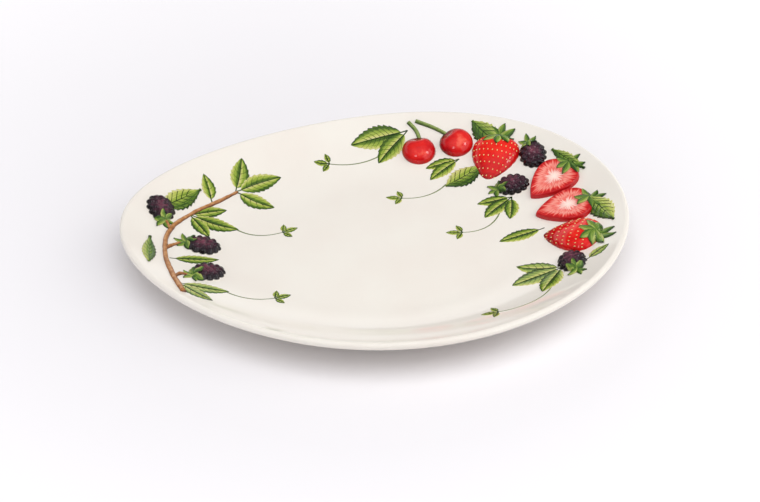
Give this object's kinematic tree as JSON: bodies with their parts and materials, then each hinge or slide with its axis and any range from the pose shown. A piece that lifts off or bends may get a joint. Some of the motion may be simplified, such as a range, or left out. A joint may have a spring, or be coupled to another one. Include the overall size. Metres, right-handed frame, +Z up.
{
  "type": "oval plate",
  "caption": "Shallow egg-shaped oval serving plate with a rounded lip, a foot ring and raised painted berries and leaves along its dish, for serving food at table.",
  "frame": {"origin": "on the table, under the middle of the box round the rim's outline", "axes": "+X along the length to the blunt end, +Y across to the side away from the viewer, +Z up from the table"},
  "size_m": [0.366, 0.2735, 0.03],
  "materials": {
    "white_glaze": "glossy cream-white glaze",
    "cherry_glaze": "glossy deep red, brushed under the glaze",
    "strawberry_glaze": "glossy bright red, brushed under the glaze",
    "cut_berry_glaze": "glossy pink and red, brushed under the glaze",
    "bramble_glaze": "glossy purple-black, brushed under the glaze",
    "leaf_glaze": "glossy greens, brushed under the glaze",
    "stalk_glaze": "glossy olive green, brushed under the glaze",
    "twig_glaze": "glossy brown, brushed under the glaze"
  },
  "bodies": {
    "root": {"plate_body": "white_glaze", "cherry_1": "cherry_glaze", "cherry_2": "cherry_glaze", "cherry_stalk_1": "stalk_glaze", "cherry_stalk_2": "stalk_glaze", "strawberry_1": "strawberry_glaze", "strawberry_2": "strawberry_glaze", "strawberry_cap_1": "leaf_glaze", "strawberry_cap_2": "leaf_glaze", "strawberry_half_1": "cut_berry_glaze", "strawberry_half_2": "cut_berry_glaze", "strawberry_half_cap_1": "leaf_glaze", "strawberry_half_cap_2": "leaf_glaze", "bramble_1": "bramble_glaze", "bramble_2": "bramble_glaze", "bramble_3": "bramble_glaze", "bramble_4": "bramble_glaze", "bramble_5": "bramble_glaze", "bramble_6": "bramble_glaze", "bramble_cap_1": "leaf_glaze", "bramble_cap_2": "leaf_glaze", "bramble_cap_3": "leaf_glaze", "bramble_cap_4": "leaf_glaze", "bramble_cap_5": "leaf_glaze", "bramble_cap_6": "leaf_glaze", "bramble_twig": "twig_glaze", "relief_leaf_1": "leaf_glaze", "relief_leaf_2": "leaf_glaze", "relief_leaf_3": "leaf_glaze", "relief_leaf_4": "leaf_glaze", "relief_leaf_5": "leaf_glaze", "relief_leaf_6": "leaf_glaze"}
  },
  "joints": []
}
